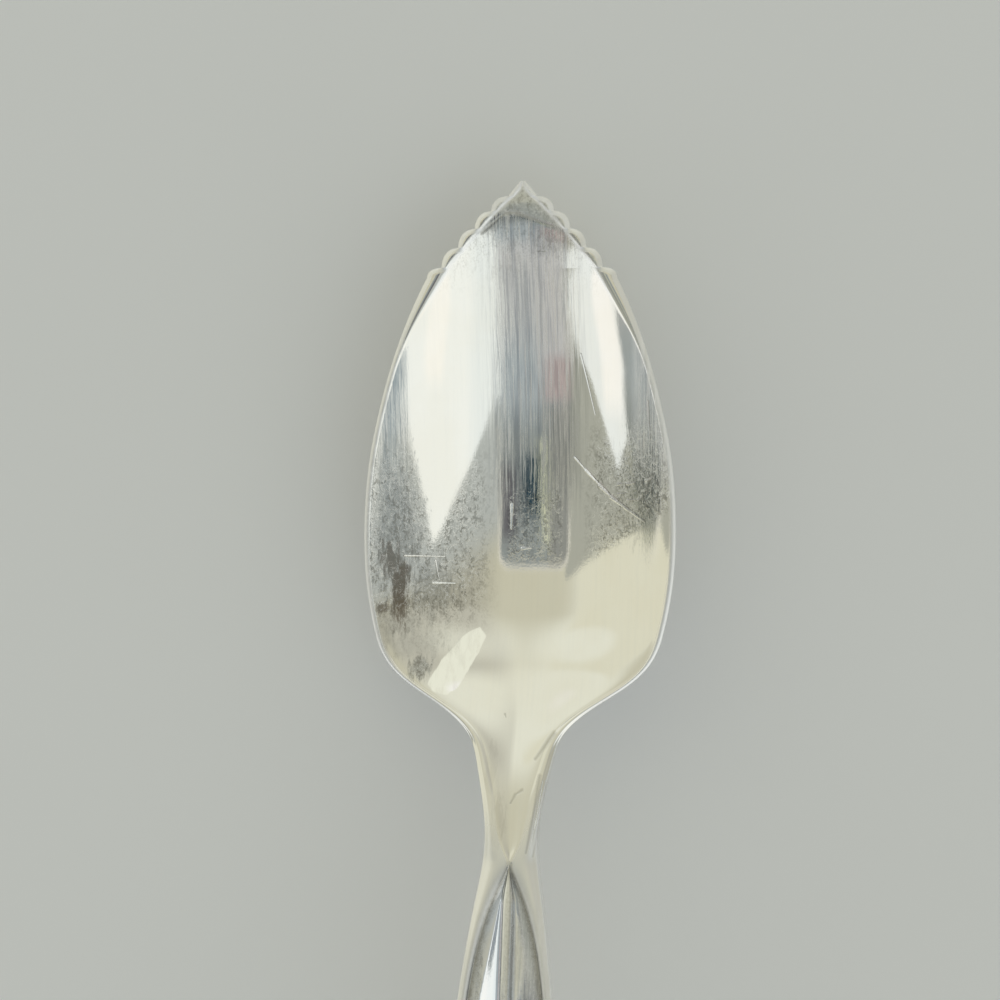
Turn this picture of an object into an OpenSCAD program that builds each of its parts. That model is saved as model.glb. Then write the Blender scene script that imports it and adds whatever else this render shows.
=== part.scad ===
// Grapefruit spoon, formed from one strip of metal: a dished bowl with a pointed, serrated tip,
// a stiff arched neck and a fluted handle. It lies face up on a table with its tip towards +Y.
// Three solids share the sections at which they meet: the bowl, the neck and the handle.

/* [Overall] */
// Length from the point of the bowl to the end of the handle
spoon_l = 150; // [130:1:175]
// Height of the top of the handle's arch above the table
arch_h = 17; // [14:0.5:22]

/* [Bowl] */
// Length from the point to the place where the bowl meets the neck
bowl_l = 48; // [42:0.5:56]
// Greatest width, about the middle of the bowl
bowl_w = 27; // [22:0.5:34]
// Height of the rim above the table at the widest place
rim_h = 8; // [6.5:0.25:10]
// Thickness of the metal at the bottom of the bowl
bowl_t = 1.2; // [0.8:0.1:1.8]
// Thickness of the metal at the tip
tip_t = 0.85; // [0.6:0.05:1.2]
// Width of the polished land along the rim
rim_w = 0.6; // [0.3:0.05:0.8]
// Height of the outer edge under the land
rim_edge = 0.35; // [0.2:0.05:0.6]

/* [Serrated tip] */
// Teeth on each side of the point
teeth = 4; // [3:1:7]
// Length of the straight-sided point
point_l = 1.3; // [0.9:0.1:2]
// Width of the point where the first teeth start
point_w = 2.6; // [1.8:0.1:3.4]
// Width of the small flat that blunts the point
blunt_w = 0.45; // [0.2:0.05:0.5]
// Distance from the tip to the last valley
serrated_l = 7.5; // [6:0.25:9.5]
// Width across the last valleys
serrated_w = 14; // [12:0.2:14.6]
// Length of the rounded shoulder after the last valley
shoulder_l = 0.9; // [0.5:0.1:1.4]
// Drop of the ground bevel along the teeth
tooth_bevel = 0.25; // [0.1:0.05:0.35]
// Length behind the last valley over which the land narrows to the rim's
narrowing_l = 9; // [3:0.5:12]

/* [Neck] */
// Length from the bowl to the start of the handle
neck_l = 10; // [8:0.5:13]
// Width at the narrowest place
neck_w = 4.7; // [3.8:0.1:6]
// Thickness at the narrowest place
neck_t = 3; // [2.4:0.1:3.8]
// Height of the neck's straight side
neck_edge = 0.9; // [0.5:0.1:1.2]
// Drop of the neck's rounded shoulders from their ridges to the side
neck_round = 0.75; // [0.4:0.05:1]
// Width of the fine crease where the two ridges meet
crease_w = 0.12; // [0.08:0.02:0.2]

/* [Handle] */
// Greatest width, near the end
handle_w = 16; // [13:0.5:20]
// Thickness where the arch is highest
handle_t = 2.4; // [2:0.1:3]
// Thickness at the end
end_t = 1.7; // [1.4:0.1:2.2]
// Height of the handle's straight side
handle_edge = 0.7; // [0.4:0.05:0.9]
// Drop of the raised border from its crest to the side
border_round = 0.4; // [0.2:0.05:0.5]
// Depth of the groove between the raised border and the panel
groove_d = 0.3; // [0.15:0.05:0.4]
// Depth of the two wide flutes below the groove
flute_d = 0.5; // [0.2:0.05:0.6]
// Length over which the fluted panel opens from its point
panel_open_l = 9; // [5:0.5:12]
// Length over which the two sides of the panel part at its point
panel_part_l = 0.8; // [0.4:0.1:1.5]
// Width of the narrow ridge along the middle
ridge_w = 0.9; // [0.6:0.05:1.4]
// Width of the raised border at the end of the handle
end_border = 1.9; // [1.4:0.1:2.6]
// Length over which the sides round off to the end
end_l = 12; // [9:0.5:16]

/* [Hidden] */

neck_end = bowl_l + neck_l;
handle_l = spoon_l - neck_end;
bowl_depth = rim_h - bowl_t;
rise = arch_h - rim_h;
rim_round = rim_w / 4;

// Share of the end's curve that is kept, so that the end closes with a small flat
end_kept_share = 0.997;
// Power of the end's curve, 2 for an ellipse
end_power = 2.4;
// Power of the bowl's cross section, 2 for a parabola
dish_power = 2.1;
// Power of the shallow tongue in the neck, 1 for a plain V
tongue_power = 1.3;
// Power of the underside of the handle, high for a flat back
back_power = 4;
// Power by which the teeth grow away from the point
tooth_growth = 1.13;
// Power of the round of a tooth, 2 for a circle and more for a fuller one
tooth_power = 2.2;
// Panel's share of the handle's width, and how steeply it opens from its point
panel_share = 0.8;
panel_growth = 3;
// Width of a flute, in flute depths, at which it is about two thirds deep
flute_growth = 2.5;
// Power that leans a flute's deepest line towards the ridge, 1 for a flute that is alike on both sides
flute_lean = 0.5;

// Half width along the spoon. The first number of each row is a distance from the tip.
outline_shares = [
    [0.100, 0.470], [0.172, 0.608], [0.287, 0.782], [0.404, 0.902], [0.505, 0.972], [0.606, 1.000],
    [0.707, 0.991], [0.808, 0.931], [0.870, 0.835], [0.908, 0.690], [0.949, 0.470], [0.990, 0.315]
];
neck_outline_shares = [[0.20, 1.41], [0.50, 1.14], [0.84, 0.985]];
handle_outline_shares = [
    [0.037, 0.367], [0.085, 0.450], [0.135, 0.519], [0.24, 0.610], [0.40, 0.705], [0.58, 0.795],
    [0.75, 0.915], [0.87, 1.000], [1.00, 1.000]
];
outline = curve(concat(
    [for (p = outline_shares) [p[0] * bowl_l, p[1] * bowl_w / 2]],
    [for (p = neck_outline_shares) [bowl_l + p[0] * neck_l, p[1] * neck_w / 2]],
    [for (p = handle_outline_shares) [neck_end + p[0] * handle_l, p[1] * handle_w / 2]]
));

// Height of the upper edge: rim of the bowl, ridges of the neck, border of the handle
rim_height_shares = [[0, 0.88], [0.22, 0.965], [0.56, 1], [0.80, 1.02], [0.92, 1.08]];
rise_shares = [[0, 0.185], [0.4, 0.355], [0.8, 0.49]];
arch_shares = [[0.03, 0.771], [0.08, 0.845], [0.16, 0.944], [0.27, 1], [0.42, 0.93], [0.60, 0.66], [0.78, 0.33],
    [0.91, 0.113]];
// Height of the border at the end, in end thicknesses, at which the underside just touches the table
end_height_share = 0.955;
edge = curve(concat(
    [for (p = rim_height_shares) [p[0] * bowl_l, p[1] * rim_h]],
    [for (p = rise_shares) [bowl_l + p[0] * neck_l, rim_h + p[1] * rise]],
    [for (p = arch_shares) [neck_end + p[0] * handle_l, end_t + p[1] * (arch_h - end_t)]],
    [[spoon_l, end_height_share * end_t]]
));

// Depth of the dish along the middle of the bowl, and of the tongue that runs on into the neck
depth_shares = [
    [0, 0.01], [0.075, 0.065], [0.14, 0.25], [0.22, 0.49], [0.34, 0.785], [0.47, 0.955], [0.58, 1],
    [0.70, 0.955], [0.80, 0.83], [0.88, 0.61], [0.94, 0.39], [1, 0.21]
];
tongue_depth_shares = [[0.25, 0.105], [0.60, 0.05], [1, 0.02]];
depth = curve(concat(
    [for (p = depth_shares) [p[0] * bowl_l, p[1] * bowl_depth]],
    [for (p = tongue_depth_shares) [bowl_l + p[0] * neck_l, p[1] * bowl_depth]]
));

// Thickness of the metal along the middle
thickness = curve([
    [0, tip_t], [0.25 * bowl_l, (tip_t + bowl_t) / 2], [0.58 * bowl_l, bowl_t], [0.86 * bowl_l, 1.1 * bowl_t],
    [bowl_l, (bowl_t + neck_t) / 2], [bowl_l + 0.84 * neck_l, neck_t], [neck_end + 0.15 * handle_l, handle_t],
    [neck_end + 0.40 * handle_l, (handle_t + end_t) / 2], [neck_end + 0.70 * handle_l, (handle_t + 4 * end_t) / 5],
    [spoon_l, end_t]
]);

// Width of the hollow between the two upper edges, as a share of what the land leaves, from the bowl
// to the end of the neck's tongue
tongue_start = 0.88 * bowl_l;
tongue_shares = curve([
    [0, 1], [0.15, 0.97], [0.34, 0.90], [0.54, 0.80], [0.75, 0.65], [0.90, 0.42], [1, 0]
]);

// Natural cubic spline through a list of [place, value] stations
function forward(p, pairs = [[0, 0]]) =
    let (i = len(pairs))
    i > len(p) - 2 ? pairs :
    let (
        before = p[i][0] - p[i - 1][0],
        after = p[i + 1][0] - p[i][0],
        turn = (p[i + 1][1] - p[i][1]) / after - (p[i][1] - p[i - 1][1]) / before,
        pivot = 2 * (before + after) - before * pairs[i - 1][0]
    )
    forward(p, concat(pairs, [[after / pivot, (6 * turn - before * pairs[i - 1][1]) / pivot]]));
function backward(pairs, i, bends) =
    i == 0 ? concat([0], bends) :
    backward(pairs, i - 1, concat([pairs[i][1] - pairs[i][0] * bends[0]], bends));
function curve(p) = [p, backward(forward(p), len(p) - 2, [0])];
function value(c, s, i = 0) =
    i < len(c[0]) - 2 && s > c[0][i + 1][0] ? value(c, s, i + 1) :
    let (
        a = c[0][i],
        b = c[0][i + 1],
        span = b[0] - a[0],
        u = (b[0] - s) / span,
        v = (s - a[0]) / span
    )
    u * a[1] + v * b[1] + ((u ^ 3 - u) * c[1][i] + (v ^ 3 - v) * c[1][i + 1]) * span ^ 2 / 6;

// Smooth step from 0 at a to 1 at b
function step(s, a, b) = let (t = min(1, max(0, (s - a) / (b - a)))) t * t * (3 - 2 * t);
// Value that passes smoothly from the bowl's to the neck's to the handle's
function zones(s, in_bowl, in_neck, in_handle) =
    let (
        leave = step(s, tongue_start, bowl_l + neck_l / 3),
        enter = step(s, neck_end - neck_l / 3, neck_end + neck_l)
    )
    in_bowl + (in_neck - in_bowl) * leave + (in_handle - in_neck) * enter;

// Valleys of the serrated edge: place along the spoon and half width
function valley(k) = [
    point_l + (serrated_l - point_l) * (k / teeth) ^ tooth_growth,
    (point_w + (serrated_w - point_w) * k / teeth) / 2
];
// Full quarter round from 0 to 1
function quarter(t) = max(0, 1 - max(0, 1 - t) ^ tooth_power) ^ (1 / tooth_power);
// Half width of a tooth, which leaves one valley square to the spoon and reaches the next along it
function tooth_w(s, k = 0) =
    k < teeth - 1 && s >= valley(k + 1)[0] ? tooth_w(s, k + 1) :
    let (a = valley(k), b = valley(k + 1))
    a[1] + (b[1] - a[1]) * quarter((s - a[0]) / (b[0] - a[0]));
// How far the end's curve has closed, 1 where it starts and near 0 at the end
function closing(s, end) =
    let (t = max(0, (s - spoon_l + end_l) / (end - spoon_l + end_l)))
    t >= 1 ? 0 : sqrt(1 - t ^ end_power);
function half_w(s) =
    s < point_l ? (blunt_w + (point_w - blunt_w) * s / point_l) / 2 :
    s < serrated_l ? tooth_w(s) :
    s < serrated_l + shoulder_l ?
        let (last = value(outline, serrated_l + shoulder_l))
        serrated_w / 2 + (last - serrated_w / 2) * quarter((s - serrated_l) / shoulder_l) :
    value(outline, s) * closing(s, spoon_l - end_l + end_l / end_kept_share);

// Half width without the teeth, which the dish and the underside follow
function core_w(s) =
    s < point_l ? half_w(s) :
    s < serrated_l ?
        (point_w + (serrated_w - point_w) * ((s - point_l) / (serrated_l - point_l)) ^ (1 / tooth_growth)) / 2 :
    s < serrated_l + narrowing_l ?
        value(outline, s)
        - (value(outline, serrated_l) - serrated_w / 2) * (1 - step(s, serrated_l, serrated_l + narrowing_l)) :
    half_w(s);

// Half width of the hollow: dish, tongue and then the handle's panel
function dish_half(s) =
    let (w = core_w(s))
    max(w - rim_w, w / 4) * value(tongue_shares, min(1, max(0, (s - tongue_start) / (neck_end - tongue_start))));
function panel_half(s) =
    let (past = sqrt(max(0, s - neck_end) ^ 2 + panel_part_l ^ 2) - panel_part_l)
    value(outline, s) * panel_share * (1 - exp(-panel_growth * past / panel_open_l))
    * closing(s, spoon_l - end_border);
function hollow_half(s) =
    max(min(crease_w, half_w(s)) / 2, s < neck_end ? dish_half(s) : panel_half(s));

// Number of steps from the middle to the edge of the hollow, and across the land or border outside it
hollow_steps = 8;
ridge_steps = 3;
land_steps = 4;
// Where the crest of the land or border lies between its inner and outer side
crest_share = 0.45;

// Half width of the ridge along the middle of the panel
function ridge_half(b) = min(ridge_w / 2, b / 3);
// Distances from the middle to the edge at which the upper side has its points
function places(s, w, b) = concat(
    s < neck_end ?
        [for (i = [0 : hollow_steps]) b * i / hollow_steps] :
        concat(
            [for (i = [0 : ridge_steps]) ridge_half(b) * sin(90 * i / ridge_steps)],
            [for (i = [1 : hollow_steps - ridge_steps])
                ridge_half(b) + (b - ridge_half(b)) * i / (hollow_steps - ridge_steps)]
        ),
    [for (i = [1 : land_steps]) b + (w - b) * i / land_steps]
);
// Depth of the hollow below its own edge at distance x from the middle
function dish_z(s, x, b, deep) =
    deep * (1 - min(1, x / b) ^ zones(s, dish_power, tongue_power, tongue_power));
function panel_z(s, x, b) =
    let (
        r = ridge_half(b),
        across = (x - r) / (b - r),
        deep = flute_d * (1 - exp(-(b - r) / (flute_growth * flute_d))),
        tall = groove_d * r / (ridge_w / 2)
    )
    x < r ? -tall * sqrt(1 - (x / r) ^ 2) : deep * sin(180 * min(1, across) ^ flute_lean);
// Drop from the crest of the land to the outer edge
function outer_drop(s) =
    let (bevel = 1 - step(s, serrated_l, serrated_l + narrowing_l))
    zones(s, rim_round + (tooth_bevel - rim_round) * bevel, neck_round, border_round);
// Height of the upper side below the crest of the land at distance x from the middle
function sink(s, x, w, b) =
    let (
        outer = outer_drop(s),
        inner = zones(s, rim_round, rim_round, groove_d) * (s < neck_end ? 1 : closing(s, spoon_l - end_border)),
        m = (x - b) / (w - b)
    )
    x > b ? (m < crest_share ? inner * (1 - m / crest_share) ^ 2 :
        outer * ((m - crest_share) / (1 - crest_share)) ^ 2) :
    s < neck_end ? inner + dish_z(s, x, b, max(0, value(depth, s) - inner)) :
    inner + panel_z(s, x, b) * closing(s, spoon_l - end_border);
// Depth of the underside below the crest
function under(s, x) =
    let (
        w = core_w(s),
        side = outer_drop(s) + zones(s, rim_edge, neck_edge, handle_edge),
        middle = value(thickness, s) + (s < neck_end ? value(depth, s) : 0),
        power = zones(s, dish_power, dish_power, back_power),
        fullness = min(1, 2 * w / neck_w)
    )
    side + max(0, middle - side) * fullness * (1 - min(1, x / w) ^ power);

// One cross section at distance s from the tip: its upper points from -X to +X, then its lower points
function section(s) =
    let (
        w = half_w(s),
        b = hollow_half(s),
        near = places(s, w, b),
        n = len(near) - 1,
        crest = value(edge, s),
        across = concat([for (i = [n : -1 : 1]) -near[i]], near)
    )
    concat(
        [for (x = across) [x, spoon_l / 2 - s, crest - sink(s, abs(x), w, b)]],
        [for (x = across) [x, spoon_l / 2 - s, crest - under(s, abs(x))]]
    );

// Closed skin over a list of sections that are all cut alike
module loft(stations) {
    rings = [for (s = stations) section(s)];
    n = len(rings[0]) / 2;
    m = 2 * n;
    last = (len(rings) - 1) * m;
    order = concat([for (i = [0 : n - 1]) i], [for (i = [m - 1 : -1 : n]) i]);
    polyhedron(
        points = [for (ring = rings) for (p = ring) p],
        faces = concat(
            [for (r = [0 : len(rings) - 2]) for (i = [0 : m - 1]) for (half = [0, 1])
                let (
                    a = r * m + order[i],
                    b = r * m + order[(i + 1) % m],
                    c = a + m,
                    d = b + m
                )
                half == 0 ? [a, b, d] : [a, d, c]],
            [for (i = [0 : n - 2]) for (half = [0, 1])
                half == 0 ? [i, n + i, n + i + 1] : [i, n + i + 1, i + 1]],
            [for (i = [0 : n - 2]) for (half = [0, 1])
                half == 0 ? [last + i, last + n + i + 1, last + n + i] :
                [last + i, last + i + 1, last + n + i + 1]]
        ),
        convexity = 6
    );
}

// Numbers of sections in each stretch
point_steps = 3;
tooth_steps = 5;
shoulder_steps = 4;
bowl_steps = 34;
neck_steps = 11;
panel_steps = 8;
handle_steps = 26;
end_steps = 12;

function evenly(a, b, steps) = [for (i = [0 : steps - 1]) a + (b - a) * i / steps];
function rounding(a, b, steps) = [for (i = [0 : steps - 1]) a + (b - a) * (1 - cos(90 * i / steps))];

smooth_start = serrated_l + shoulder_l;
panel_opened = neck_end + panel_open_l;
end_start = spoon_l - end_l;
bowl_stations = concat(
    evenly(0, point_l, point_steps),
    [for (k = [0 : teeth - 1]) each rounding(valley(k)[0], valley(k + 1)[0], tooth_steps)],
    rounding(serrated_l, smooth_start, shoulder_steps),
    evenly(smooth_start, bowl_l, bowl_steps),
    [bowl_l]
);
neck_stations = concat(evenly(bowl_l, neck_end, neck_steps), [neck_end]);
handle_stations = concat(
    rounding(neck_end, panel_opened, panel_steps),
    evenly(panel_opened, end_start, handle_steps),
    [for (i = [0 : end_steps]) end_start + end_l * sin(90 * i / end_steps)]
);

module bowl() {
    color("silver") loft(bowl_stations);
}

module neck() {
    color("silver") loft(neck_stations);
}

module handle() {
    color("silver") loft(handle_stations);
}

bowl();
neck();
handle();
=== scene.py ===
"""A silver-plated grapefruit spoon that lies face up on a pale table.

The spoon is one lofted skin, cut at the two planes where the frame's bowl, neck and handle meet, so that
each of the three pieces stands for its own node and no seam shows in the polish. Sizes are in millimetres
along the spoon, counted from its tip, until mesh points are written in metres.
"""
import math

import bpy
import numpy as np
from mathutils import Matrix, Vector


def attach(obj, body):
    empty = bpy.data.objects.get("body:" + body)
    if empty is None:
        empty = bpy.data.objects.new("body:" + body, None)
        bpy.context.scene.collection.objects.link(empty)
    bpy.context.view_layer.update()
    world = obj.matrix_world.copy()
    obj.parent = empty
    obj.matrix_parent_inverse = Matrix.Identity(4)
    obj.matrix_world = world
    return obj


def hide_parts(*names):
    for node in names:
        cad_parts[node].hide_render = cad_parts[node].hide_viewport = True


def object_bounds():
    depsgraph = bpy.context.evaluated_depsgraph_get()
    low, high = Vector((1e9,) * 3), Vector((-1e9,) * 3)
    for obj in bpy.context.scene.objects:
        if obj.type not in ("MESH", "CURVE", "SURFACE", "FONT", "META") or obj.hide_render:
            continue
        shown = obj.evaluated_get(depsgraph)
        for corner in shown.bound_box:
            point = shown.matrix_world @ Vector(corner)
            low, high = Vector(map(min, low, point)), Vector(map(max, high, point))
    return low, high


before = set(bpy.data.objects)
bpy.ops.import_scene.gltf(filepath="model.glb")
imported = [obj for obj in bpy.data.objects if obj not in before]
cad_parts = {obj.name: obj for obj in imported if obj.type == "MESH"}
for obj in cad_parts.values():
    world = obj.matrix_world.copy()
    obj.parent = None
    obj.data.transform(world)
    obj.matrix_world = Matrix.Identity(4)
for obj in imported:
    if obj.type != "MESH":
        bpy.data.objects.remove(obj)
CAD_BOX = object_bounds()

MM = 0.001

# Sizes of the spoon
SPOON_L = 150
ARCH_H = 17
BOWL_L = 48
BOWL_W = 27
RIM_H = 8
BOWL_T = 1.2
TIP_T = 0.85
RIM_W = 0.6
RIM_EDGE = 0.35
RIM_ROUND = RIM_W / 4
TEETH = 4
POINT_L = 1.3
POINT_W = 2.6
BLUNT_W = 0.45
SERRATED_L = 7.5
SERRATED_W = 14
SHOULDER_L = 0.9
TOOTH_BEVEL = 0.25
TOOTH_BEVEL_W = 0.5
NARROWING_L = 9
NECK_L = 10
NECK_W = 4.7
NECK_T = 3
NECK_EDGE = 0.9
NECK_ROUND = 0.75
CREASE_W = 0.12
HANDLE_W = 16
HANDLE_T = 2.4
END_T = 1.7
HANDLE_EDGE = 0.7
BORDER_ROUND = 0.4
GROOVE_D = 0.3
FLUTE_D = 0.5
PANEL_OPEN_L = 9
PANEL_PART_L = 0.8
RIDGE_W = 0.9
END_BORDER = 1.9
END_L = 12

NECK_END = BOWL_L + NECK_L
HANDLE_L = SPOON_L - NECK_END
BOWL_DEPTH = RIM_H - BOWL_T
END_START = SPOON_L - END_L
TONGUE_START = 0.88 * BOWL_L

# Powers and shares that shape the curves
END_KEPT_SHARE = 0.997
END_POWER = 2.4
DISH_POWER = 2.1
TOOTH_POWER = 2.2
TONGUE_POWER = 1.3
BACK_POWER = 4
TOOTH_GROWTH = 1.13
PANEL_SHARE = 0.8
PANEL_GROWTH = 3
FLUTE_GROWTH = 2.5
FLUTE_LEAN = 0.5
CREST_SHARE = 0.45
# Easings of the visible skin alone, and the stretches along which they come in and go out: the dish's wall near
# the rim, the shoulders, where the dish lies up to 1.1 mm higher than in the solids, and the neck's creases
WALL_EASE = 0.12
WALL_IN = 15, 30
SHOULDER_EASE = 0.3
SHOULDER_EASE_IN = 36, 43
SHOULDER_POWER_CUT = 0.6
SHOULDER_FILL = 0.06
SHOULDER_IN = 37, 42
SHOULDER_OUT = 44, 50
CREASE_FADE = 0.75
CREASE_IN = 50, 56
CREASE_OUT = 57.5, 61


def spline(stations):
    """Smooth curve through [place, value] stations, with no bending at its two ends."""
    places, values = np.array(stations, float).T
    gaps = np.diff(places)
    slopes = np.diff(values) / gaps
    matrix = np.eye(len(places))
    kinks = np.zeros(len(places))
    for i in range(1, len(places) - 1):
        matrix[i, i - 1:i + 2] = gaps[i - 1], 2 * (gaps[i - 1] + gaps[i]), gaps[i]
        kinks[i] = 6 * (slopes[i] - slopes[i - 1])
    bends = np.linalg.solve(matrix, kinks)

    def at(s):
        i = np.clip(np.searchsorted(places, s) - 1, 0, len(places) - 2)
        u = (places[i + 1] - s) / gaps[i]
        v = (s - places[i]) / gaps[i]
        bend = (u ** 3 - u) * bends[i] + (v ** 3 - v) * bends[i + 1]
        return u * values[i] + v * values[i + 1] + bend * gaps[i] ** 2 / 6

    return at


def scaled(shares, start, length, base, height):
    """Stations given as shares of a stretch and of a height, as real sizes."""
    return [[start + length * place, base + height * value] for place, value in shares]


outline = spline(
    scaled([[0.100, 0.470], [0.172, 0.608], [0.287, 0.782], [0.404, 0.902], [0.505, 0.972], [0.606, 1.000],
            [0.707, 0.991], [0.808, 0.931], [0.870, 0.835], [0.908, 0.690], [0.949, 0.470], [0.990, 0.315]],
           0, BOWL_L, 0, BOWL_W / 2)
    + scaled([[0.20, 1.41], [0.50, 1.14], [0.84, 0.985]], BOWL_L, NECK_L, 0, NECK_W / 2)
    + scaled([[0.037, 0.367], [0.085, 0.450], [0.135, 0.519], [0.24, 0.610], [0.40, 0.705], [0.58, 0.795],
              [0.75, 0.915], [0.87, 1.000], [1.00, 1.000]], NECK_END, HANDLE_L, 0, HANDLE_W / 2))
crest_height = spline(
    scaled([[0, 0.88], [0.22, 0.965], [0.56, 1], [0.80, 1.02], [0.92, 1.08]], 0, BOWL_L, 0, RIM_H)
    + scaled([[0, 0.185], [0.4, 0.355], [0.8, 0.49]], BOWL_L, NECK_L, RIM_H, ARCH_H - RIM_H)
    + scaled([[0.03, 0.771], [0.08, 0.845], [0.16, 0.944], [0.27, 1], [0.42, 0.93], [0.60, 0.66],
              [0.78, 0.33], [0.91, 0.113]], NECK_END, HANDLE_L, END_T, ARCH_H - END_T)
    + [[SPOON_L, 0.955 * END_T]])
hollow_depth = spline(
    scaled([[0, 0.01], [0.075, 0.065], [0.14, 0.25], [0.22, 0.49], [0.34, 0.785], [0.47, 0.955], [0.58, 1],
            [0.70, 0.955], [0.80, 0.83], [0.88, 0.61], [0.94, 0.39], [1, 0.21]], 0, BOWL_L, 0, BOWL_DEPTH)
    + scaled([[0.25, 0.105], [0.60, 0.05], [1, 0.02]], BOWL_L, NECK_L, 0, BOWL_DEPTH))
thickness = spline([
    [0, TIP_T], [0.25 * BOWL_L, (TIP_T + BOWL_T) / 2], [0.58 * BOWL_L, BOWL_T], [0.86 * BOWL_L, 1.1 * BOWL_T],
    [BOWL_L, (BOWL_T + NECK_T) / 2], [BOWL_L + 0.84 * NECK_L, NECK_T],
    [NECK_END + 0.15 * HANDLE_L, HANDLE_T], [NECK_END + 0.40 * HANDLE_L, (HANDLE_T + END_T) / 2],
    [NECK_END + 0.70 * HANDLE_L, (HANDLE_T + 4 * END_T) / 5],
    [SPOON_L, END_T]])
tongue_share = spline([[0, 1], [0.15, 0.97], [0.34, 0.90], [0.54, 0.80], [0.75, 0.65], [0.90, 0.42], [1, 0]])


def step(s, start, end):
    """Smooth step from 0 at start to 1 at end."""
    t = np.clip((s - start) / (end - start), 0, 1)
    return t * t * (3 - 2 * t)


def between(s, come, go):
    """1 after the smooth passage come and before the smooth passage go, 0 outside them."""
    return step(s, *come) * (1 - step(s, *go))


def zones(s, in_bowl, in_neck, in_handle):
    """Value that passes smoothly from the bowl's to the neck's to the handle's."""
    leave = step(s, TONGUE_START, BOWL_L + NECK_L / 3)
    enter = step(s, NECK_END - NECK_L / 3, NECK_END + NECK_L)
    return in_bowl + (in_neck - in_bowl) * leave + (in_handle - in_neck) * enter


def quarter(t):
    """Full quarter round from 0 to 1."""
    return np.maximum(0, 1 - np.maximum(0, 1 - t) ** TOOTH_POWER) ** (1 / TOOTH_POWER)


def closing(s, end):
    """How far the end's curve has closed, 1 where it starts and near 0 at the end."""
    t = np.clip((s - END_START) / (end - END_START), 0, 1)
    return np.sqrt(1 - t ** END_POWER)


VALLEY_S = POINT_L + (SERRATED_L - POINT_L) * (np.arange(TEETH + 1) / TEETH) ** TOOTH_GROWTH
VALLEY_X = np.linspace(POINT_W, SERRATED_W, TEETH + 1) / 2


def half_width(s):
    """Half of the spoon's width, teeth included."""
    tooth = np.clip(np.searchsorted(VALLEY_S, s, side="right") - 1, 0, TEETH - 1)
    along = np.clip((s - VALLEY_S[tooth]) / (VALLEY_S[tooth + 1] - VALLEY_S[tooth]), 0, 1)
    toothed = VALLEY_X[tooth] + (VALLEY_X[tooth + 1] - VALLEY_X[tooth]) * quarter(along)
    shoulder_end = outline(SERRATED_L + SHOULDER_L)
    rounded = SERRATED_W / 2 + (shoulder_end - SERRATED_W / 2) * quarter(
        np.clip((s - SERRATED_L) / SHOULDER_L, 0, 1))
    return np.select(
        [s < POINT_L, s < SERRATED_L, s < SERRATED_L + SHOULDER_L],
        [(BLUNT_W + (POINT_W - BLUNT_W) * s / POINT_L) / 2, toothed, rounded],
        outline(s) * closing(s, END_START + END_L / END_KEPT_SHARE))


def core_half(s):
    """Half width without the teeth, which the dish and the underside follow."""
    share = np.clip((s - POINT_L) / (SERRATED_L - POINT_L), 0, 1) ** (1 / TOOTH_GROWTH)
    narrowing = 1 - step(s, SERRATED_L, SERRATED_L + NARROWING_L)
    return np.select(
        [s < POINT_L, s < SERRATED_L, s < SERRATED_L + NARROWING_L],
        [half_width(s), (POINT_W + (SERRATED_W - POINT_W) * share) / 2,
         outline(s) - (outline(SERRATED_L) - SERRATED_W / 2) * narrowing],
        half_width(s))


def hollow_half(s):
    """Half width of the hollow: the dish, its tongue in the neck, and then the handle's panel."""
    core = core_half(s)
    tongue = tongue_share(np.clip((s - TONGUE_START) / (NECK_END - TONGUE_START), 0, 1))
    past = np.sqrt(np.maximum(0, s - NECK_END) ** 2 + PANEL_PART_L ** 2) - PANEL_PART_L
    opened = 1 - np.exp(-PANEL_GROWTH * past / PANEL_OPEN_L)
    panel = outline(s) * PANEL_SHARE * opened * closing(s, SPOON_L - END_BORDER)
    hollow = np.where(s < NECK_END, np.maximum(core - RIM_W, core / 4) * tongue, panel)
    return np.maximum(np.minimum(CREASE_W, half_width(s)) / 2, hollow)


def ridge_half(hollow):
    """Half width of the ridge along the middle of the panel."""
    return np.minimum(RIDGE_W / 2, hollow / 3)


def outer_drop(s):
    """Drop from the crest of the land to the outer edge."""
    bevel = 1 - step(s, SERRATED_L, SERRATED_L + NARROWING_L)
    return zones(s, RIM_ROUND + (TOOTH_BEVEL - RIM_ROUND) * bevel, NECK_ROUND, BORDER_ROUND)


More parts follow.
